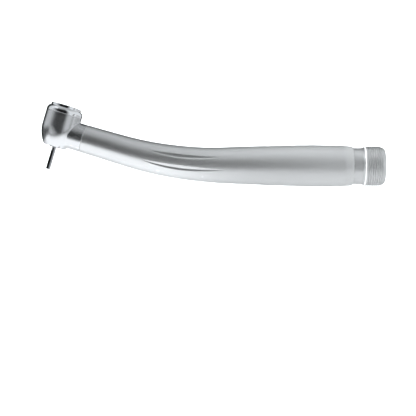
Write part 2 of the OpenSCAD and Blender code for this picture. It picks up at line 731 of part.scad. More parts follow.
module bush(x) along_x(drive_place) ring(shaft_r + 0.03, bush_seat_r - 0.02, x, x + 0.9);
module generator_front_bush() color("sandybrown") bush(-36.95);
module generator_rear_bush() color("sandybrown") bush(-23.15);

// ---- One line for each node ---------------------------------------------
head_housing();
back_cap();
push_button();
button_circlip();
button_spring();
spindle();
impeller();
collet();
chuck_pusher();
chuck_spring();
test_bur();
front_outer_race();
front_inner_race();
front_cage();
front_balls();
front_shield();
rear_outer_race();
rear_inner_race();
rear_cage();
rear_balls();
rear_shield();
front_o_ring();
rear_o_ring();
wave_washer();
dust_ring();
spray_nozzles();
led_lens();
led_module();
handle_shell();
neck_manifold();
neck_o_ring();
drive_air_tube();
water_tube();
chip_air_tube();
led_wires();
tube_clamp();
locating_screw();
connector_body();
connector_o_ring();
port_block();
port_gasket();
drive_port_tube();
exhaust_port_tube();
water_port_tube();
chip_port_tube();
drive_inlet_tube();
drive_filter();
generator_housing();
generator_end_cap();
generator_coil();
generator_core();
generator_magnet();
generator_shaft();
generator_vane_wheel();
generator_front_bush();
generator_rear_bush();
check_valve_ball();
check_valve_spring();
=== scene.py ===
import json
import math
import bpy
import bmesh
from mathutils import Matrix, Vector


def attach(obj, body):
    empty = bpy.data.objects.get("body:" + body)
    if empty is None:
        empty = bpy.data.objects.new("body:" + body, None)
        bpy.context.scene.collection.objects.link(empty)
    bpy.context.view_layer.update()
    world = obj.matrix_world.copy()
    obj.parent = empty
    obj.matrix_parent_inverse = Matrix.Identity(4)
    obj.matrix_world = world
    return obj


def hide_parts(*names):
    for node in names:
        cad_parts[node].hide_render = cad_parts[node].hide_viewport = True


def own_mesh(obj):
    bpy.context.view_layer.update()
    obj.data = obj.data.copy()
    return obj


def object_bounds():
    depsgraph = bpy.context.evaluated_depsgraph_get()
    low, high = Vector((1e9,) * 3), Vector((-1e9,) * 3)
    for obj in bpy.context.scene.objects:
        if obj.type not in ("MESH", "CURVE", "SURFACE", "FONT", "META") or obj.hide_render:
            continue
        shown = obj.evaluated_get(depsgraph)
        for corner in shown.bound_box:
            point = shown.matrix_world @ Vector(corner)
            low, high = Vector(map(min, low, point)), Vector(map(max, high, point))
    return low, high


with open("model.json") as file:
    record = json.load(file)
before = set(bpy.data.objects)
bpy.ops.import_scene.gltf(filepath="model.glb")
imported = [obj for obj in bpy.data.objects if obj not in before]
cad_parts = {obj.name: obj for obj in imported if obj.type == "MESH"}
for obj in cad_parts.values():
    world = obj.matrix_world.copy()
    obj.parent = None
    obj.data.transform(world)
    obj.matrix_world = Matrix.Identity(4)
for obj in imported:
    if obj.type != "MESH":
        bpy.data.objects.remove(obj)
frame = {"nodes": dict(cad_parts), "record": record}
cad_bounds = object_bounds()
SLOT_OF = {row["node"]: row["material_slot"] for row in frame["record"]["subparts"]}

MM = 0.001

# ------------------------------------------------------------------ sizes
# The dimensions of the CAD source, in millimetres. Names with ALONG are distances along the
# handle's centre line from the rotor's axis: a straight neck, an arc, then a straight rear.
BEND_ANGLE = math.radians(16.2)
BEND_RADIUS = 134.0
REAR_LENGTH = 76.75
FRONT_LENGTH = 42.8
HANDLE_DIAMETER = 15.0
NECK_DIAMETER = 10.2
HEAD_RADIUS = 6.6
HEAD_LOW = 5.84            # from the head's origin down to its underside
HEAD_TOP = 6.48            # and up to the top of its housing
CORNER_X = -REAR_LENGTH
TANGENT_LENGTH = BEND_RADIUS * math.tan(BEND_ANGLE / 2)
ARC_X = CORNER_X + TANGENT_LENGTH
HEAD_X = CORNER_X - FRONT_LENGTH * math.cos(BEND_ANGLE)
HEAD_Z = FRONT_LENGTH * math.sin(BEND_ANGLE)
NECK_LENGTH = FRONT_LENGTH - TANGENT_LENGTH
ARC_LENGTH = BEND_RADIUS * BEND_ANGLE
SEAM_ALONG = 9.15          # where the handle meets the head
ARC_END_ALONG = NECK_LENGTH + ARC_LENGTH
SHELL_END_X = -11.65
SHELL_END_ALONG = ARC_END_ALONG + SHELL_END_X - ARC_X
SCREW_X = -41.75

# Local axes: the head's z is the rotor's axis and its x runs down the neck; the rear's z is +X.
HEAD_AXES = Matrix.Translation((HEAD_X, 0, HEAD_Z)) @ Matrix.Rotation(BEND_ANGLE, 4, "Y")
REAR_AXES = Matrix.Rotation(math.pi / 2, 4, "Y")


# ------------------------------------------------------------- mesh tools
def make_object(name, bm, material, sharp=32.0):
    """A closed, outward-facing, smooth-shaded object. bm is in millimetres."""
    bmesh.ops.remove_doubles(bm, verts=bm.verts, dist=1e-5)
    bmesh.ops.recalc_face_normals(bm, faces=bm.faces)
    bmesh.ops.scale(bm, vec=(MM, MM, MM), verts=bm.verts)
    mesh = bpy.data.meshes.new(name)
    bm.to_mesh(mesh)
    bm.free()
    mesh.shade_smooth()
    mesh.set_sharp_from_angle(angle=math.radians(sharp))
    mesh.materials.append(material)
    return link_object(name, mesh)


def link_object(name, data):
    obj = bpy.data.objects.new(name, data)
    bpy.context.scene.collection.objects.link(obj)
    return obj


def bezier(start, control, end, t):
    return (1 - t) ** 2 * start + 2 * t * (1 - t) * control + t * t * end


def rounded(corners, steps=4):
    """A polyline through (a, b) points, with the corners given as (a, b, radius) rounded."""
    out = []
    for i, (a, b, *radius) in enumerate(corners):
        if not radius:
            out.append((a, b))
            continue
        corner = Vector((a, b))
        back = Vector(corners[i - 1][:2]) - corner
        ahead = Vector(corners[i + 1][:2]) - corner
        reach = min(radius[0], 0.45 * back.length, 0.45 * ahead.length)
        back.normalize()
        ahead.normalize()
        start, end = corner + back * reach, corner + ahead * reach
        out += [tuple(bezier(start, corner, end, k / steps)) for k in range(steps + 1)]
    return out


def refine(points, longest):
    """Extra points so that no stretch of the polyline is longer than the length given."""
    out = [points[0]]
    for a, b in zip(points, points[1:]):
        n = max(1, math.ceil(math.dist(a, b) / longest))
        for k in range(1, n + 1):
            out.append((a[0] + (b[0] - a[0]) * k / n, a[1] + (b[1] - a[1]) * k / n))
    return out


def revolve(bm, profile, axes, segments):
    """Turns a closed loop of (r, z) about local z. A point with r 0 becomes a single vertex."""
    rings = []
    for r, z in profile:
        if r < 1e-7:
            places = [(0, 0, z)]
        else:
            angles = [2 * math.pi * k / segments for k in range(segments)]
            places = [(r * math.cos(angle), r * math.sin(angle), z) for angle in angles]
        rings.append([bm.verts.new(axes @ Vector(place)) for place in places])
    for a, b in zip(rings, rings[1:] + rings[:1]):
        if len(a) == 1 and len(b) == 1:
            continue
        for k in range(segments):
            j = (k + 1) % segments
            if len(a) == 1:
                bm.faces.new((a[0], b[j], b[k]))
            elif len(b) == 1:
                bm.faces.new((a[k], a[j], b[0]))
            else:
                bm.faces.new((a[k], a[j], b[j], b[k]))


def loft(bm, rings, cap_start=False, cap_end=False):
    for a, b in zip(rings, rings[1:]):
        n = len(a)
        for k in range(n):
            j = (k + 1) % n
            bm.faces.new((a[k], a[j], b[j], b[k]))
    if cap_start:
        bm.faces.new(list(reversed(rings[0])))
    if cap_end:
        bm.faces.new(rings[-1])


def cutter(axes, radius, bottom, top, segments):
    bm = bmesh.new()
    revolve(bm, [(0, bottom), (radius, bottom), (radius, top), (0, top)], axes, segments)
    return make_object("cutter", bm, MAT["cut_metal"])


def cut(obj, holes):
    """Takes cylinders (axes, radius, bottom, top, segments) out of obj and applies the result."""
    cutters = [cutter(*hole) for hole in holes]
    for tool in cutters:
        modifier = obj.modifiers.new("cut", "BOOLEAN")
        modifier.operation = "DIFFERENCE"
        modifier.solver = "EXACT"
        modifier.object = tool
    bpy.context.view_layer.update()
    graph = bpy.context.evaluated_depsgraph_get()
    mesh = bpy.data.meshes.new_from_object(obj.evaluated_get(graph),
                                           preserve_all_data_layers=True, depsgraph=graph)
    obj.modifiers.clear()
    old = obj.data
    name = old.name
    obj.data = mesh
    bpy.data.meshes.remove(old)
    mesh.name = name
    mesh.shade_smooth()
    mesh.set_sharp_from_angle(angle=math.radians(30))
    for tool in cutters:
        bpy.data.objects.remove(tool)


def add_part(name, node, slot, bm, sharp, body="handpiece", holes=()):
    """An object that takes the place of a CAD node and moves with a body."""
    obj = make_object(name, bm, MAT[slot], sharp)
    if holes:
        cut(obj, holes)
    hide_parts(node)
    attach(obj, body)
    return obj


def add_turned(name, node, slot, profile, axes, segments, sharp, body="handpiece"):
    bm = bmesh.new()
    revolve(bm, profile, axes, segments)
    add_part(name, node, slot, bm, sharp, body)


# ----------------------------------------------------------- shader tools
class Value:
    """A node's output. Arithmetic on it adds math nodes, with the inputs in written order."""

    def __init__(self, graph, socket):
        self.graph = graph
        self.socket = socket

    def __add__(self, other):
        return self.graph.math("ADD", self, other)

    def __radd__(self, other):
        return self.graph.math("ADD", other, self)

    def __sub__(self, other):
        return self.graph.math("SUBTRACT", self, other)

    def __rsub__(self, other):
        return self.graph.math("SUBTRACT", other, self)

    def __mul__(self, other):
        return self.graph.math("MULTIPLY", self, other)


class Graph:
    """Builds the node tree of a material or world."""

    def __init__(self, owner, clear=True):
        owner.use_nodes = True
        self.tree = owner.node_tree
        if clear:
            self.tree.nodes.clear()

    def feed(self, socket, value):
        """Links a Value or a socket into an input, or sets it to a constant."""
        value = getattr(value, "socket", value)
        if isinstance(value, bpy.types.NodeSocket):
            self.tree.links.new(value, socket)
        else:
            socket.default_value = value

    def node(self, kind, inputs=None, **settings):
        node = self.tree.nodes.new("ShaderNode" + kind)
        for key, value in settings.items():
            setattr(node, key, value)
        for key, value in (inputs or {}).items():
            self.feed(node.inputs[key], value)
        return node

    def value(self, kind, output, inputs=None, **settings):
        return Value(self, self.node(kind, inputs, **settings).outputs[output])

    def math(self, operation, a, b, clamp=False):
        return self.value("Math", 0, {0: a, 1: b}, operation=operation, use_clamp=clamp)

    def smooth(self, value, low, high, start=0.0, end=1.0):
        """Goes smoothly from start to end while the value goes from low to high."""
        inputs = {"Value": value, "From Min": low, "From Max": high, "To Min": start, "To Max": end}
        return self.value("MapRange", "Result", inputs, interpolation_type="SMOOTHSTEP")

    def fall(self, value, low, high):
        return 1.0 - self.smooth(value, low, high)

    def split(self, coordinates):
        """The x, y and z of one of the texture coordinates."""
        source = self.value("TexCoord", coordinates)
        node = self.node("SeparateXYZ", {0: source})
        return [Value(self, socket) for socket in node.outputs]


# -------------------------------------------------------------- materials
MAT = {}
BUMP_DISTANCE = 0.00002     # metres
EDGE_START, EDGE_GAIN = 0.515, 14.0           # pointiness at which outer edges begin to wear
CREVICE_START, CREVICE_GAIN = 0.485, 12.0     # pointiness at which the painted shade of inner corners begins


def material(name, color, metallic, rough, rough_spread, grain, bump, shade_spread,
             stretch=(1, 1, 1), edge=0.0, coat=0.0, fine=None, transmission=0.0, ior=1.45,
             turned=None, slope=None, band=None, crevice_shade=0.0):
    """A procedural surface with noise in its shade, roughness and height.

    grain and fine are noise scales in cycles per metre, and stretch squeezes the noise along an
    axis. edge lightens and polishes sharp outer edges, and crevice darkens the colour of inner
    corners as painted shade. turned adds lathe lines around the X axis, in lines per metre. slope
    changes the value, roughness and metallic gradually from start to end, in metres along X. band
    does so between start and end, over a blend at either side.
    """
    m = bpy.data.materials.new(name)
    g = Graph(m)
    shader = g.node("BsdfPrincipled", {
        "Metallic": metallic, "IOR": ior, "Transmission Weight": transmission, "Coat Weight": coat})
    g.node("OutputMaterial", {0: shader.outputs[0]})
    coord = g.node("TexCoord").outputs["Object"]
    mapping = g.node("Mapping", {"Scale": stretch, "Vector": coord}).outputs[0]

    def noise(scale, detail):
        return g.value("TexNoise", 0, {
            "Scale": scale, "Detail": detail, "Roughness": 0.55, "Vector": mapping})

    def place_x():
        return g.value("SeparateXYZ", 0, {0: coord})

    def pointiness():
        return g.value("NewGeometry", "Pointiness")

    broad = noise(grain / 40, 4.0)
    tiny = noise(grain, 2.0)
    shade = (broad - 0.5) * (shade_spread * 2) + (tiny - 0.5) * shade_spread
    roughness = (broad - 0.5) * (rough_spread * 2) + rough
    metal = metallic

    spans = []
    if slope or band:
        x = place_x()
    if slope:
        start, end = slope["start"], slope["end"]
        spans.append((g.math("DIVIDE", x - start, end - start, clamp=True), slope))
    if band:
        rise = g.math("DIVIDE", x - band["start"], band["blend"], clamp=True)
        drop = g.math("DIVIDE", band["end"] - x, band["blend"], clamp=True)
        spans.append((rise * drop, band))
    for span, change in spans:
        shade = shade + span * change["value"]
        roughness = roughness + span * change["rough"]
        metal = span * change["metallic"] + metal
    g.feed(shader.inputs["Metallic"], metal)

    # painted shade: the colour darkens in inner corners and grooves, where shade would fall
    if crevice_shade:
        depth = g.math("MULTIPLY", CREVICE_START - pointiness(), CREVICE_GAIN, clamp=True)
        shade = shade - depth * crevice_shade
    tinted = g.node("HueSaturation", {"Color": (*color, 1), "Value": shade + 1.0})
    colour = tinted.outputs[0]
    if edge:
        worn = g.math("MULTIPLY", pointiness() - EDGE_START, EDGE_GAIN, clamp=True)
        worn = g.math("MULTIPLY", worn, broad + 0.35, clamp=True)
        bright = (*[min(1.0, c * 1.25 + 0.05) for c in color], 1)
        # the mix node's colour sockets are inputs 6 and 7 and output 2
        mix = g.node("Mix", {"Factor": worn * edge, 6: colour, 7: bright}, data_type="RGBA")
        colour = mix.outputs[2]
        roughness = roughness - worn * (0.12 * edge)
    g.feed(shader.inputs["Base Color"], colour)
    g.feed(shader.inputs["Roughness"], g.math("MAXIMUM", roughness, 0.02))

    height = tiny
    if fine:
        height = height + noise(fine, 1.0) * 0.5
    if turned:
        wave = g.math("SINE", place_x() * (turned * 2 * math.pi), 0)
        height = height * 0.4 + wave * 0.5
    relief = g.node("Bump", {"Strength": bump, "Distance": BUMP_DISTANCE, "Height": height})
    g.feed(shader.inputs["Normal"], relief.outputs[0])
    return m


# colour, metallic, roughness, roughness spread, grain, bump strength, shade spread, extras
FINISHES = {
    "satin_steel": ((0.60, 0.60, 0.60), 0.93, 0.28, 0.02, 9000, 0.15, 0.02, dict(
        fine=22000, edge=0.5,
        slope=dict(start=-0.105, end=-0.025, value=0.06, rough=0.20, metallic=-0.06),
        band=dict(start=-0.0149, end=-0.0100, blend=0.0003, value=0.0, rough=0.08,
                  metallic=-0.03))),
    "head_steel": ((0.62, 0.62, 0.625), 0.97, 0.21, 0.02, 9000, 0.12, 0.02,
                   dict(fine=22000, edge=0.6)),
    "polished_cap": ((0.87, 0.87, 0.88), 1.0, 0.045, 0.015, 2500, 0.02, 0.01, dict(edge=0.2)),
    "turned_steel": ((0.60, 0.60, 0.60), 1.0, 0.24, 0.05, 5000, 0.1, 0.03,
                     dict(turned=9000, edge=0.4)),
    "ground_steel": ((0.66, 0.66, 0.67), 1.0, 0.16, 0.04, 8000, 0.06, 0.02, dict(edge=0.4)),
    "blued_steel": ((0.50, 0.50, 0.51), 1.0, 0.16, 0.05, 7000, 0.08, 0.10,
                    dict(stretch=(1, 1, 0.15), edge=0.5)),
    "spring_steel": ((0.52, 0.53, 0.56), 1.0, 0.22, 0.05, 6000, 0.06, 0.05, {}),
    "tube_steel": ((0.68, 0.68, 0.67), 1.0, 0.17, 0.05, 6000, 0.05, 0.03,
                   dict(stretch=(0.1, 1, 1), edge=0.3)),
    "connector_steel": ((0.62, 0.62, 0.62), 0.88, 0.34, 0.02, 6000, 0.08, 0.02, dict(
        # painted shade darkens the thread roots
        turned=7000, edge=0.5, crevice_shade=0.75,
        # painted highlight: a lighter, less metallic line on the rounded shoulder
        band=dict(start=-0.00765, end=-0.00712, blend=0.00012, value=0.4, rough=0.0,
                  metallic=-0.50))),
    "screw_steel": ((0.30, 0.30, 0.31), 1.0, 0.28, 0.06, 6000, 0.08, 0.06, dict(edge=0.5)),
    "turbine_alloy": ((0.78, 0.60, 0.30), 1.0, 0.24, 0.05, 6000, 0.08, 0.05, dict(edge=0.4)),
    "drive_tube_brass": ((0.74, 0.53, 0.24), 1.0, 0.22, 0.07, 4000, 0.06, 0.08,
                         dict(stretch=(0.1, 1, 1))),
    "bush_bronze": ((0.60, 0.36, 0.18), 1.0, 0.42, 0.08, 9000, 0.25, 0.15, {}),
    "core_iron": ((0.18, 0.18, 0.19), 1.0, 0.45, 0.08, 5000, 0.15, 0.12, dict(turned=3500)),
    "coil_copper": ((0.55, 0.22, 0.09), 1.0, 0.25, 0.06, 5000, 0.1, 0.12, dict(coat=0.6)),
    "magnet_nickel": ((0.62, 0.62, 0.60), 1.0, 0.14, 0.05, 5000, 0.04, 0.04, dict(edge=0.3)),
    "black_aluminium": ((0.045, 0.047, 0.052), 0.6, 0.38, 0.06, 9000, 0.12, 0.12, dict(edge=0.6)),
    "clamp_aluminium": ((0.70, 0.71, 0.72), 1.0, 0.30, 0.06, 6000, 0.1, 0.04, dict(turned=5000)),
    "cage_brown": ((0.30, 0.16, 0.07), 0, 0.5, 0.1, 9000, 0.2, 0.25, {}),
    "ball_ceramic": ((0.028, 0.028, 0.030), 0, 0.08, 0.03, 6000, 0.01, 0.08, dict(ior=2.0)),
    "o_ring_black": ((0.012, 0.012, 0.013), 0, 0.46, 0.08, 7000, 0.15, 0.2, {}),
    "valve_red": ((0.42, 0.05, 0.03), 0, 0.42, 0.07, 7000, 0.15, 0.15, {}),
    "gasket_green": ((0.16, 0.33, 0.25), 0, 0.48, 0.08, 5000, 0.2, 0.14, {}),
    "vane_resin": ((0.72, 0.69, 0.60), 0, 0.38, 0.06, 5000, 0.1, 0.05, {}),
    "wire_red": ((0.40, 0.04, 0.03), 0, 0.30, 0.06, 5000, 0.06, 0.1, dict(coat=0.5)),
    "light_brass": ((0.80, 0.62, 0.28), 1.0, 0.2, 0.05, 5000, 0.05, 0.05, {}),
    "lens_glass": ((0.93, 0.96, 1.0), 0, 0.03, 0.01, 3000, 0.01, 0.01,
                   dict(transmission=0.9, ior=1.5, coat=0.3)),
    "cut_metal": ((0.5, 0.5, 0.5), 1.0, 0.3, 0.04, 6000, 0.02, 0.03, {}),
}
for name, (*numbers, extras) in FINISHES.items():
    MAT[name] = material(name, *numbers, **extras)


# ----------------------------------------------------------------- handle
# distance along the centre line, share of the way from the neck's to the handle's radius
GROWTH = [(8.95, 0), (24, 0.10), (40, 0.305), (54, 0.48), (68, 0.715), (82, 0.90), (93, 1.0),
          (104.5, 0.935)]
# The finger grooves: start and end along the centre line, then the upper edge's angle and how far
# it arches up, and the lower edge's angle and how far it bulges down, in degrees
CRESCENTS = [(34.2, 60.5, 24, 4.7, 23.5, 11.5), (32.2, 61.3, -16.5, 5, -17.5, 12)]
GROOVE_DEPTH = 0.38
GROOVE_DEEPEST = 0.62      # share of the groove's width, from its upper edge
LIP = 0.3                  # length of the rounded front lip
REAR_CONE = 3.1            # length of the short cone at the rear edge
FLAT_START = SCREW_X - 1.2   # the shallow flat beside the locating screw
FLAT_END = -30
BORE = 4.35                # inner radius of the front part


def path_point(along, y, z):
    """A point beside the handle's centre line."""
    c, s = math.cos(BEND_ANGLE), math.sin(BEND_ANGLE)
    if along <= NECK_LENGTH:
        return Vector((HEAD_X + along * c + z * s, y, HEAD_Z - along * s + z * c))
    if along <= ARC_END_ALONG:
        turn = BEND_ANGLE * (1 - (along - NECK_LENGTH) / ARC_LENGTH)
        radius = BEND_RADIUS - z
        return Vector((ARC_X - radius * math.sin(turn), y, BEND_RADIUS - radius * math.cos(turn)))
    return Vector((ARC_X + along - ARC_END_ALONG, y, z))


def growth(along):
    """A smooth curve through the GROWTH stations."""
    last = len(GROWTH) - 1
    i = 0
    while i < last - 1 and along >= GROWTH[i + 1][0]:
        i += 1

    def slope(k):
        before, after = GROWTH[max(k - 1, 0)], GROWTH[min(k + 1, last)]
        return (after[1] - before[1]) / (after[0] - before[0])

    (start, start_share), (end, end_share) = GROWTH[i], GROWTH[i + 1]
    span = end - start
    t = (along - start) / span
    return ((2 * t**3 - 3 * t * t + 1) * start_share
            + (t**3 - 2 * t * t + t) * span * slope(i)
            + (3 * t * t - 2 * t**3) * end_share
            + (t**3 - t * t) * span * slope(i + 1))


def handle_radius(along):
    return NECK_DIAMETER / 2 + (HANDLE_DIAMETER - NECK_DIAMETER) / 2 * growth(along)


def groove(along, degrees):
    """Depth of the finger grooves at an angle in degrees, 0 facing -Y and 90 facing up."""
    if math.cos(math.radians(degrees)) < 0:      # the same on the +Y side
        level = 180 - degrees
    else:
        level = degrees - 360 if degrees > 180 else degrees
    depth = 0.0
    for start, end, top_angle, top_arch, low_angle, low_bulge in CRESCENTS:
        if along <= start or along >= end:
            continue
        t = (along - start) / (end - start)
        swell = math.sin(math.pi * t**0.8)
        top = top_angle + top_arch * math.sin(math.pi * t)
        low = low_angle - low_bulge * swell
        across = (top - level) / (top - low)
        if 0 < across < GROOVE_DEEPEST:
            section = (1 - math.cos(math.pi * across / GROOVE_DEEPEST)) / 2
        elif GROOVE_DEEPEST <= across < 1:
            section = math.cos(math.pi / 2 * (across - GROOVE_DEEPEST) / (1 - GROOVE_DEEPEST))
        else:
            continue
        depth += GROOVE_DEPTH * swell * section
    return depth


def handle_outside():
    """(distance along, radius) from the seam to the rear edge, without grooves or flat."""
    rows = []
    stations = [SEAM_ALONG + d for d in (0.0, 0.03, 0.08, 0.14, 0.21, LIP)]
    along = SEAM_ALONG + 0.5
    while along < SHELL_END_ALONG - 3.2:
        stations.append(along)
        along += 0.28 if 31 < along < 63 else 0.55      # closer over the grooves
    for along in stations:
        radius = handle_radius(along)
        d = along - SEAM_ALONG
        if d < LIP:
            radius -= 0.17 * (1 - math.sqrt(max(0.0, 1 - (1 - d / LIP) ** 2)))
        rows.append((along, radius))
    # a soft crease, the cone, then its rounded lip
    crease = SHELL_END_ALONG - REAR_CONE
    for d in (0.0, 0.5, 1.0, 1.6, 2.2, 2.6):
        rows.append((crease + d, handle_radius(crease) - 0.30 * (d / REAR_CONE) ** 1.25))
    for d, radius in ((2.85, 7.02), (2.98, 6.985), (3.06, 6.94), (REAR_CONE, 6.87)):
        rows.append((crease + d, radius))
    return rows


def handle_inside():
    """(distance along, radius) of the inner wall, from the rear edge to the seam."""
    rows = [(SHELL_END_ALONG, 6.32), (SHELL_END_ALONG - 0.1, 6.30)]
    for x, radius in ((-14, 6.30), (-27, 6.30), (-40.18, 6.30), (-40.2, 5.30), (-50, 5.30),
                      (-58.0, 5.30), (-58.03, BORE)):
        rows.append((x - ARC_X + ARC_END_ALONG, radius))
    for k in range(1, 21):
        rows.append((ARC_END_ALONG + (NECK_LENGTH - ARC_END_ALONG) * k / 20, BORE))
    return rows + [(16, BORE), (SEAM_ALONG + 0.1, BORE), (SEAM_ALONG, 4.42)]


def build_handle():
    bm = bmesh.new()
    angles = []
    # start, end and count: closer on the two sides, where the grooves are
    for start, end, count in ((-40, 36, 110), (36, 144, 40), (144, 220, 110), (220, 320, 38)):
        angles += [start + (end - start) * k / count for k in range(count)]

    def point(along, radius, degrees):
        y = -radius * math.cos(math.radians(degrees))
        return bm.verts.new(path_point(along, y, radius * math.sin(math.radians(degrees))))

    rings = []
    for along, outer in handle_outside():
        ring = []
        x = along - ARC_END_ALONG + ARC_X
        for degrees in angles:
            radius = outer - groove(along, degrees)
            up = math.sin(math.radians(degrees))
            if FLAT_START < x < FLAT_END and up > 0.5:
                flat_z = 6.97 + 0.0454 * (x - FLAT_START)
                if radius * up > flat_z:
                    radius += (flat_z / up - radius) * min(1.0, (x - FLAT_START) / 0.12)
            ring.append(point(along, radius, degrees))
        rings.append(ring)
    for along, radius in handle_inside():
        rings.append([point(along, radius, degrees) for degrees in angles])
    rings.append(rings[0])
    loft(bm, rings)
    screw_hole = (Matrix.Translation((SCREW_X, 0, 0)), 1.03, 5.0, 8.0, 48)
    add_part("handle", "handle_shell", "satin_steel", bm, sharp=28, holes=[screw_hole])


# ------------------------------------------------------------------- head
# In the head's own axes.
NECK_RADIUS = NECK_DIAMETER / 2 - 0.02
NECK_END = SEAM_ALONG
LIP_END = NECK_END - 0.18      # where the rounding of the neck's end face stops
FILLET = 0.32                  # between the neck and the barrel
BELLY_TOP = 1.6                # the barrel narrows below this height
BELLY_CURVE = 11.74
# The patch of barrel around the neck: half its angle, its heights, and its steps
PATCH_ANGLE, PATCH_LOW, PATCH_HIGH = math.radians(76), -5.60, 5.95
STEPS_ROUND, STEPS_UP, STEPS_OUT = 60, 44, 16
STEPS_REST = 92                # round the rest of the barrel


def belly_radius(z):
    if z > BELLY_TOP:
        return HEAD_RADIUS
    return HEAD_RADIUS - (BELLY_CURVE - math.sqrt(BELLY_CURVE**2 - (BELLY_TOP - z) ** 2))


def barrel_x(y, z):
    return math.sqrt(max(0.0, belly_radius(z) ** 2 - y * y))


def underside():
    """(radius, z) from the flat underside round its edge to the bottom of the patch."""
    flat, join = belly_radius(-HEAD_LOW) - 0.25, belly_radius(-5.70)
    curve = [Vector(p) for p in ((flat, -HEAD_LOW), (join - 0.12, -HEAD_LOW), (join, -5.70))]
    edge = [tuple(bezier(*curve, k / 5)) for k in range(1, 6)]
    return [(2.3, -HEAD_LOW), (flat, -HEAD_LOW)] + edge + [(belly_radius(PATCH_LOW), PATCH_LOW)]


def build_head():
    bm = bmesh.new()

    def ring(points):
        return [bm.verts.new(HEAD_AXES @ Vector(point)) for point in points]

    def round_z(radius, z, angles):
        return ring([(radius * math.cos(a), radius * math.sin(a), z) for a in angles])

    def round_x(radius, x):
        return ring([(x, radius * math.cos(d), radius * math.sin(d)) for d in directions])

    # the patch's border, as shares of its half angle and half height, from its -z corner on +y
    border = [(1.0, -1 + 2 * i / STEPS_UP) for i in range(STEPS_UP)]
    border += [(1 - 2 * i / STEPS_ROUND, 1.0) for i in range(STEPS_ROUND)]
    border += [(-1.0, 1 - 2 * i / STEPS_UP) for i in range(STEPS_UP)]
    border += [(-1 + 2 * i / STEPS_ROUND, -1.0) for i in range(STEPS_ROUND)]
    directions = [math.atan2(b, a) for a, b in border]
    patch_height = PATCH_HIGH - PATCH_LOW
    border_places = [(a * PATCH_ANGLE, PATCH_LOW + patch_height * (b + 1) / 2) for a, b in border]

    # where the fillet meets the barrel, as (angle, z), and the x where it leaves the neck
    landings, starts = [], []
    for direction in directions:
        c, s = math.cos(direction), math.sin(direction)
        y, z = (NECK_RADIUS + FILLET) * c, (NECK_RADIUS + FILLET) * s
        landings.append((math.atan2(y, barrel_x(y, z)), z))
        starts.append(barrel_x(NECK_RADIUS * c, NECK_RADIUS * s) + FILLET)

    # neck: rounded end, straight part, fillet
    rings = [round_x(NECK_RADIUS - inset, NECK_END - back) for inset, back in
             ((0.15, 0), (0.10, 0.02), (0.05, 0.06), (0.015, 0.11), (0, 0.18))]
    for k in range(1, 11):
        t = k / 10
        rings.append(ring([
            (LIP_END * (1 - t) + start * t, NECK_RADIUS * math.cos(d), NECK_RADIUS * math.sin(d))
            for d, start in zip(directions, starts)]))
    for k in range(1, 7):
        points = []
        for direction, start, (angle, z) in zip(directions, starts, landings):
            x, radius = bezier(
                Vector((start, NECK_RADIUS)),
                Vector((start - FILLET, NECK_RADIUS)),
                Vector((belly_radius(z) * math.cos(angle), NECK_RADIUS + FILLET)),
                k / 6)
            points.append((x, radius * math.cos(direction), radius * math.sin(direction)))
        rings.append(ring(points))

    # barrel: from the fillet out to the patch's border
    for k in range(1, STEPS_OUT + 1):
        t = k / STEPS_OUT
        points = []
        for landing, corner in zip(landings, border_places):
            angle, z = (a * (1 - t) + b * t for a, b in zip(landing, corner))
            radius = belly_radius(z)
            points.append((radius * math.cos(angle), radius * math.sin(angle), z))
        rings.append(ring(points))
    loft(bm, rings)

    # the rest of the barrel, beside the patch
    rest_angle = 2 * math.pi - 2 * PATCH_ANGLE
    rest = [PATCH_ANGLE + rest_angle * k / STEPS_REST for k in range(STEPS_REST + 1)]
    belt = []
    for i in range(STEPS_UP + 1):
        z = PATCH_LOW + patch_height * i / STEPS_UP
        belt.append(round_z(belly_radius(z), z, rest))
    for a, b in zip(belt, belt[1:]):
        for k in range(STEPS_REST):
            bm.faces.new((a[k], a[k + 1], b[k + 1], b[k]))

    # all the way round: top edge, inside and underside, as (radius, z)
    around = [-PATCH_ANGLE + 2 * PATCH_ANGLE * k / STEPS_ROUND for k in range(STEPS_ROUND)]
    around += rest[:-1]
    profile = [
        (HEAD_RADIUS, PATCH_HIGH), (HEAD_RADIUS, 6.2), (HEAD_RADIUS, 6.36),
        (HEAD_RADIUS - 0.015, 6.42), (HEAD_RADIUS - 0.05, 6.46), (HEAD_RADIUS - 0.11, HEAD_TOP),
        (5.6, HEAD_TOP), (5.6, 2.3), (5.0, 2.3), (5.0, -2.35), (3.28, -2.35), (3.28, -5.15),
        (2.0, -5.15), (2.0, -HEAD_LOW + 0.06), (2.05, -HEAD_LOW)]
    loft(bm, [round_z(radius, z, around) for radius, z in profile + underside()])

    # neck's end face, spigot and bore, as (radius, x)
    spigot = [(NECK_RADIUS - 0.15, NECK_END), (4.3, NECK_END), (4.3, 11.0), (3.88, 11.0),
              (3.88, 11.7), (4.3, 11.7), (4.3, 13.25), (4.15, 13.4), (3.6, 13.4), (3.6, 7.5)]
    loft(bm, [round_x(radius, x) for radius, x in spigot], cap_end=True)

    # three small slanting holes in the underside, and a large one below the neck
    holes = []
    for degrees in (60, 180, 300):
        axes = (HEAD_AXES @ Matrix.Rotation(math.radians(degrees), 4, "Z")
                @ Matrix.Translation((3.95, 0, -5.6)) @ Matrix.Rotation(math.radians(14), 4, "Y"))
        holes.append((axes, 0.37, -1.5, 1.6, 32))
    axes = (HEAD_AXES @ Matrix.Translation((6.2, 0, -5.3))
            @ Matrix.Rotation(math.radians(33), 4, "Y"))
    holes.append((axes, 1.13, -2.5, 2.75, 64))
    # it is made of head_steel, but sits in the handle's slot
    obj = make_object("head_body", bm, MAT["head_steel"], 28)
    cut(obj, holes)
    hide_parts("head_housing")
    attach(obj, "handpiece")


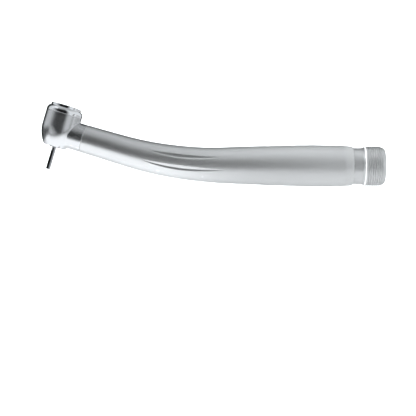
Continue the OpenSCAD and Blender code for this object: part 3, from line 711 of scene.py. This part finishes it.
# Profiles below are (radius, z) or, for rounded corners, (radius, z, rounding).
def build_cap():
    top = 8.65
    bottom = HEAD_TOP + 0.03
    profile = rounded([
        (5.6, 6.8), (5.6, top, 0.05), (5.68, top, 0.1), (5.96, top - 0.11, 0.2),
        (6.23, top - 0.38, 0.24), (6.47, top - 0.79, 0.24), (HEAD_RADIUS, top - 1.2, 0.4),
        (HEAD_RADIUS, bottom, 0.07), (5.58, bottom)], 6)
    for i in range(6):      # thread
        z = 6.1 - 0.5 * i
        profile += [(5.58, z), (5.4, z - 0.12), (5.58, z - 0.24)]
    profile += [(5.58, 2.35), (3.28, 2.35), (3.28, 3.0), (3.86, 3.0), (3.86, 3.8), (3.28, 3.8),
                (3.28, 4.68), (2.6, 4.68), (2.6, 6.2), (1.0, 6.2), (1.0, 6.8)]
    add_turned("cap_ring", "back_cap", "polished_cap", profile, HEAD_AXES, 224, sharp=26)


def build_button():
    radius = 5.5
    dome_radius, dome_z, dome_rise = radius - 0.32, 9.605, 0.12
    profile = [(0, 4.95), (0.7, 4.95), (0.88, 5.1), (0.88, 5.83), (0.72, 5.83), (0.72, 6.12),
               (0.88, 6.12), (0.88, 8.35), (radius - 0.1, 8.35), (radius, 8.45)]
    profile += rounded([(radius, 9.3), (radius, 9.54, 0.2), (dome_radius, dome_z)], 7)
    for k in range(1, 15):
        r = dome_radius * (1 - k / 14)
        profile.append((r, dome_z + dome_rise * (1 - (r / dome_radius) ** 2)))
    add_turned("button", "push_button", "polished_cap", profile, HEAD_AXES, 224, sharp=26,
               body="button")


def build_bur():
    groove_z = -HEAD_LOW
    low, high = groove_z - 8.42, 7.24 - HEAD_LOW
    profile = rounded([
        (0, low), (0.8, low, 0.1), (0.8, groove_z - 0.44, 0.02), (0.68, groove_z - 0.4, 0.05),
        (0.62, groove_z - 0.2, 0.05), (0.62, groove_z + 0.3, 0.02), (0.8, groove_z + 0.36, 0.02),
        (0.8, high, 0.2), (0.0, high)])
    add_turned("bur", "test_bur", "blued_steel", refine(profile, 0.8), HEAD_AXES, 64, sharp=40,
               body="bur")


def build_dust_ring():
    bottom = -HEAD_LOW - 0.16
    profile = [(1.3, -HEAD_LOW - 0.14)] + rounded([
        (1.3, -5.2), (1.97, -5.2), (1.97, -HEAD_LOW - 0.03, 0.04), (1.84, bottom, 0.04),
        (1.3, bottom)])
    add_turned("nose_ring", "dust_ring", "screw_steel", profile, HEAD_AXES, 128, sharp=30)


# ------------------------------------------------------------------- rear
# Profiles here are (radius, x), as the rear's z is +X.
THREAD_CREST = 7.15
THREAD_PITCH = 0.794
NOSE_TAPER = [(6.75, -0.94), (7.06, -1.67), (THREAD_CREST, -2.1)]


def crest_radius(x):
    """Radius of the thread's crests, which taper towards the rear end."""
    for (r0, x0), (r1, x1) in zip(NOSE_TAPER, NOSE_TAPER[1:]):
        if x1 <= x <= x0:
            return r0 + (r1 - r0) * (x - x0) / (x1 - x0)
    return THREAD_CREST


def build_connector():
    profile = [(5.0, -0.05), (5.05, 0.0)]
    profile += rounded([(5.4, 0.0), (5.72, 0.0, 0.1), (6.2, -0.17), (6.28, -0.21, 0.1),
                        (6.75, -0.94, 0.3), (6.84, -1.15)])
    for i in range(7):
        x = -1.6 - THREAD_PITCH * i
        root = crest_radius(x) - 0.27
        profile += rounded([
            (crest_radius(x + 0.32), x + 0.32), (crest_radius(x + 0.24), x + 0.24, 0.06),
            (root, x + 0.03, 0.05), (root, x - 0.03, 0.05),
            (crest_radius(x - 0.24), x - 0.24, 0.06), (crest_radius(x - 0.32), x - 0.32)], 3)
    shoulder = SHELL_END_X + 0.02
    profile += rounded([
        (THREAD_CREST, -6.8), (THREAD_CREST, -7.16, 0.15), (THREAD_CREST - 0.12, -7.5, 0.15),
        (6.74, -8.02, 0.2), (6.54, -8.4, 0.2), (6.54, shoulder, 0.05), (6.28, shoulder)], 5)
    for i in range(4):      # small grooves on the part inside the handle
        x = -12.8 - 0.6 * i
        profile += [(6.28, x), (6.08, x - 0.15), (6.28, x - 0.3)]
    profile += [(6.28, -16.1), (5.76, -16.1), (5.76, -16.8), (6.28, -16.8), (6.28, -18.8),
                (6.1, -19.0), (5.4, -19.0), (5.4, -4.2), (5.0, -4.2)]
    add_turned("rear_connector", "connector_body", "connector_steel", profile, REAR_AXES, 224,
               sharp=26)


# name, node, y, z, outer radius, inner radius, x of the front end, radius of the thicker front
# part or 0 for none
PORT_TUBES = [
    ("port_drive", "drive_port_tube", 0, -1.5, 1.25, 0.95, -8.3, 1.5),
    ("port_exhaust", "exhaust_port_tube", 0, 3.1, 1.3, 1.05, -9.0, 1.5),
    ("port_water", "water_port_tube", -2.2, 1.8, 0.6, 0.35, -5.25, 0),
    ("port_chip", "chip_port_tube", 2.2, 1.8, 0.6, 0.35, -5.25, 0),
]


def build_port_tube(name, node, y, z, outer, inner, front, thick):
    end = -1.0
    profile = [(inner, front)]
    if thick:
        profile += [(thick, front), (thick, -3.24), (thick - 0.04, -3.2), (outer, -3.2)]
    else:
        profile.append((outer, front))
    profile += rounded([(outer, end - 0.16), (outer - 0.02, end - 0.03, 0.05),
                        (outer - 0.1, end, 0.04), (inner + 0.05, end, 0.04), (inner, end - 0.06)])
    axes = Matrix.Translation((0, y, z)) @ REAR_AXES
    add_turned(name, node, "tube_steel", profile, axes, 72, sharp=30)


# ---------------------------------------------------------------- springs
def build_spring(name, node, body, axes, radii, ends, turns, wire):
    """A wound spring with closed ends.

    radii and ends are its radius and its z at the first and last end; wire is a radius.
    """
    bm = bmesh.new()
    (r0, r1), (z0, z1) = radii, ends
    steps = int(turns * 44)
    wire_angles = [2 * math.pi * j / 14 for j in range(14)]
    flat = 0.5 / turns      # the first and last half turn lie nearly flat
    middle = 1 - 2 * flat
    rings = []
    for i in range(steps + 1):
        t = i / steps
        rise = (0.12 * min(t, flat) / flat
                + 0.76 * min(max(t - flat, 0.0), middle) / middle
                + 0.12 * max(t - 1 + flat, 0.0) / flat)
        angle = 2 * math.pi * turns * t
        radius = r0 + (r1 - r0) * t
        z = z0 + wire + (z1 - z0 - 2 * wire) * rise
        ring = []
        for b in wire_angles:
            r = radius + wire * math.cos(b)
            point = Vector((r * math.cos(angle), r * math.sin(angle), z + wire * math.sin(b)))
            ring.append(bm.verts.new(axes @ point))
        rings.append(ring)
    loft(bm, rings, cap_start=True, cap_end=True)
    obj = add_part(name, node, SLOT_OF[node], bm, sharp=40, body=body)
    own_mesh(obj)


def finish_cad_parts():
    """The CAD parts that are still shown keep their shape and take their slot's material."""
    for name, obj in frame["nodes"].items():
        if obj.hide_render:
            continue
        obj.data.materials.clear()
        obj.data.materials.append(MAT[SLOT_OF[name]])
        for polygon in obj.data.polygons:
            polygon.use_smooth = True
        modifier = obj.modifiers.new("weighted", "WEIGHTED_NORMAL")
        modifier.keep_sharp = True


build_handle()
build_head()
build_cap()
build_button()
build_bur()
build_dust_ring()
build_connector()
for tube in PORT_TUBES:
    build_port_tube(*tube)
build_spring("spring_button", "button_spring", "handpiece", HEAD_AXES,
             radii=(3.4, 2.6), ends=(6.83, 8.32), turns=2.5, wire=0.18)
build_spring("spring_chuck", "chuck_spring", "rotor", HEAD_AXES,
             radii=(1.07, 1.07), ends=(2.03, 2.89), turns=3, wire=0.06)
build_spring("spring_valve", "check_valve_spring", "handpiece",
             Matrix.Translation((0, -2.2, 1.8)) @ REAR_AXES,
             radii=(0.33, 0.33), ends=(-8.85, -6.72), turns=4, wire=0.06)
finish_cad_parts()

# ------------------------------------------------------------------ stage
# From here on, lengths are in metres.
FLOOR_Z = cad_bounds[0][2] - 0.030
FLOOR_LEFT, FLOOR_RIGHT = -1.2, 1.1
FLOOR_FRONT, FLOOR_BACK = -0.9, 0.3      # the flat part, in y
SWEEP_RADIUS = 0.25                      # between the floor and the wall behind it
WALL_HEIGHT = 0.9
FLAT_STEPS, SWEEP_STEPS = 8, 16
GLOW_COLOR = (0.950, 0.985, 1.015, 1)
scene = bpy.context.scene


def floor_material():
    m = bpy.data.materials.new("pale_floor")
    g = Graph(m, clear=False)
    shader = g.tree.nodes["Principled BSDF"]
    noise = g.node("TexNoise", {"Scale": 60, "Detail": 4})
    ramp = g.node("ValToRGB", {0: noise.outputs["Fac"]})
    ramp.color_ramp.elements[0].color = (0.88, 0.88, 0.88, 1)
    ramp.color_ramp.elements[1].color = (0.92, 0.92, 0.92, 1)
    g.feed(shader.inputs["Base Color"], ramp.outputs[0])
    g.feed(shader.inputs["Roughness"], 0.85)
    # clear from below, so the underside can be looked at
    mix = g.node("MixShader", {
        0: g.value("NewGeometry", "Backfacing"),
        1: shader.outputs[0],
        2: g.value("BsdfTransparent", 0)})
    g.feed(g.tree.nodes["Material Output"].inputs["Surface"], mix.outputs[0])
    return m


def build_floor():
    mesh = bpy.data.meshes.new("floor")
    bm = bmesh.new()
    line = []
    for i in range(FLAT_STEPS + 1):
        line.append((FLOOR_FRONT + (FLOOR_BACK - FLOOR_FRONT) * i / FLAT_STEPS, FLOOR_Z))
    for i in range(1, SWEEP_STEPS + 1):
        angle = i / SWEEP_STEPS * math.pi / 2
        line.append((FLOOR_BACK + SWEEP_RADIUS * math.sin(angle),
                     FLOOR_Z + SWEEP_RADIUS * (1 - math.cos(angle))))
    line.append((FLOOR_BACK + SWEEP_RADIUS, FLOOR_Z + WALL_HEIGHT))
    rows = [[bm.verts.new((x, y, z)) for x in (FLOOR_LEFT, FLOOR_RIGHT)] for y, z in line]
    for a, b in zip(rows, rows[1:]):
        bm.faces.new((a[0], a[1], b[1], b[0]))
    bm.to_mesh(mesh)
    bm.free()
    mesh.shade_smooth()
    mesh.materials.append(floor_material())
    floor = link_object("floor", mesh)
    floor.visible_glossy = False      # the object reflects the soft surround below instead


def reflection_card(name, corners, material):
    """A rectangle that only reflections see."""
    mesh = bpy.data.meshes.new(name)
    mesh.from_pydata(corners, [], [(0, 1, 2, 3)])
    mesh.materials.append(material)
    card = link_object(name, mesh)
    for ray in ("camera", "diffuse", "shadow", "transmission", "volume_scatter"):
        setattr(card, "visible_" + ray, False)


def build_bur_card():
    """Black card beside the bur, so the left of its shank stays dark."""
    m = bpy.data.materials.new("card_black")
    g = Graph(m, clear=False)
    inputs = g.tree.nodes["Principled BSDF"].inputs
    inputs["Base Color"].default_value = (0.005, 0.005, 0.005, 1)
    inputs["Roughness"].default_value = 1.0
    inputs["Specular IOR Level"].default_value = 0.0
    # in the head's axes, in millimetres
    corners = ((-2.3, -3.6, -15.0), (-2.3, 0.4, -15.0), (-2.3, 0.4, -7.4), (-2.3, -3.6, -7.4))
    reflection_card("bur_card", [tuple(HEAD_AXES @ Vector(p) * MM) for p in corners], m)


def build_fill_card():
    """Dim card in front of the rear end, so the ring and the handle's end are lit evenly."""
    m = bpy.data.materials.new("card_fill")
    g = Graph(m)
    glow = g.node("Emission", {"Color": GLOW_COLOR, "Strength": 0.36})
    incoming = g.value("NewGeometry", "Incoming")
    facing = g.value("VectorMath", "Value", {0: incoming, 1: (0, 1, 0)}, operation="DOT_PRODUCT")
    # clear when seen at an angle, so the head does not show it
    mix = g.node("MixShader", {
        0: g.smooth(facing, 0.78, 0.93),
        1: g.value("BsdfTransparent", 0),
        2: glow.outputs[0]})
    g.node("OutputMaterial", {0: mix.outputs[0]})
    y, left, right, height = -0.09, -0.018, 0.04, 0.05
    reflection_card("fill_card", [(left, y, -height), (right, y, -height), (right, y, height),
                                  (left, y, height)], m)


def build_light_table():
    """Light table under the object, which leaves the floor plain."""
    m = bpy.data.materials.new("light_table")
    g = Graph(m)
    x, y, _ = g.split("Object")
    # dim at its left and front edges, brightest under the head, weaker behind the object
    edges = g.smooth(x, -0.290, -0.240) * g.smooth(y, -0.088, -0.040)
    level = g.smooth(x, -0.092, -0.046, 1.55, 0.88) * g.smooth(y, 0.004, 0.024, 1.0, 0.66)
    strength = g.math("MAXIMUM", edges * level, 0.10)
    glow = g.node("Emission", {"Color": GLOW_COLOR, "Strength": strength})
    g.node("OutputMaterial", {0: glow.outputs[0]})
    left, right, front, back, z = -0.32, 0.26, -0.092, 0.22, -0.031
    reflection_card("light_table", [(left, front, z), (right, front, z), (right, back, z),
                                    (left, back, z)], m)


def build_world():
    """Soft surround, dark towards the camera and behind, light to the sides, brightest low down
    and to the left. Azimuth is 0 towards the camera and positive to its right, in degrees."""
    world = bpy.data.worlds.new("studio")
    scene.world = world
    g = Graph(world)
    x, y, z = g.split("Generated")
    azimuth = g.math("ARCTAN2", x, y * -1.0) * (180 / math.pi)
    elevation = g.math("ARCSINE", z, 0.0) * (180 / math.pi)

    # dark regions
    front = (g.smooth(azimuth + elevation, -62, -22) * g.fall(azimuth, 14, 44)
             * g.fall(elevation, 14, 78))
    behind = ((g.fall(azimuth, -124, -108) + g.smooth(azimuth, 138, 156))
              * g.smooth(elevation, -22, -6) * g.fall(elevation, 50, 76))
    horizon = (g.smooth(elevation, -16, -7) * g.fall(elevation, 2, 13)
               * g.fall(azimuth, -74, -50))
    # strengths at the sides, above and below, each changing from left to right
    side = 0.78 + x * 0.06
    above = 0.55 + x * -0.28
    below = 1.10 + x * -0.5
    up = g.smooth(elevation, 20, 66)
    down = g.fall(elevation, -34, -16)
    level = side * (1.0 - up) + above * up
    level = level * (1.0 - down) + below * down
    level = level * (1.0 - front * 0.985) * (1.0 - behind * 0.95)
    level = level * (1.0 - horizon * 0.9)
    # softbox high on the left
    softbox = ((g.smooth(azimuth, -96, -80) * g.fall(azimuth, -44, -30))
               * (g.smooth(elevation, 22, 34) * g.fall(elevation, 60, 72)))
    level = level + softbox * 0.55
    # the camera itself sees an even surround
    seen = g.value("LightPath", "Is Camera Ray")
    level = level * (1.0 - seen) + seen
    background = g.node("Background", {"Strength": level, "Color": (0.940, 0.982, 1.015, 1)})
    g.node("OutputWorld", {0: background.outputs[0]})


def add_area_light(name, location, target, size, power):
    """A square light that reflections do not see."""
    light = bpy.data.lights.new(name, "AREA")
    light.shape = "RECTANGLE"
    light.size = size
    light.size_y = size
    light.energy = power
    light.color = (0.95, 0.985, 1.0)
    obj = bpy.data.objects.new(name, light)
    obj.location = location
    aim = Vector(target) - Vector(location)
    obj.rotation_euler = aim.to_track_quat("-Z", "Y").to_euler()
    obj.visible_glossy = False
    scene.collection.objects.link(obj)


def add_camera():
    data = bpy.data.cameras.new("camera")
    data.lens = 104.0
    data.sensor_width = 36.0
    data.clip_start = 0.01
    camera = bpy.data.objects.new("camera", data)
    camera.location = (-0.06375, -0.435, -0.01549)
    level = Matrix.Rotation(math.pi / 2, 3, "X")
    roll = Matrix.Rotation(math.radians(0.36), 3, "Z")
    camera.rotation_euler = (level @ roll).to_euler()
    scene.collection.objects.link(camera)
    scene.camera = camera


build_floor()
scene.view_settings.view_transform = "Standard"
build_bur_card()
build_fill_card()
build_light_table()
build_world()
add_area_light("key", location=(-0.15, -0.25, 0.75), target=(-0.06, 0.1, -0.05),
               size=0.9, power=13.0)
add_area_light("wash", location=(-0.06, 0.1, 0.7), target=(-0.06, 0.5, 0.0),
               size=1.0, power=9.0)
add_camera()
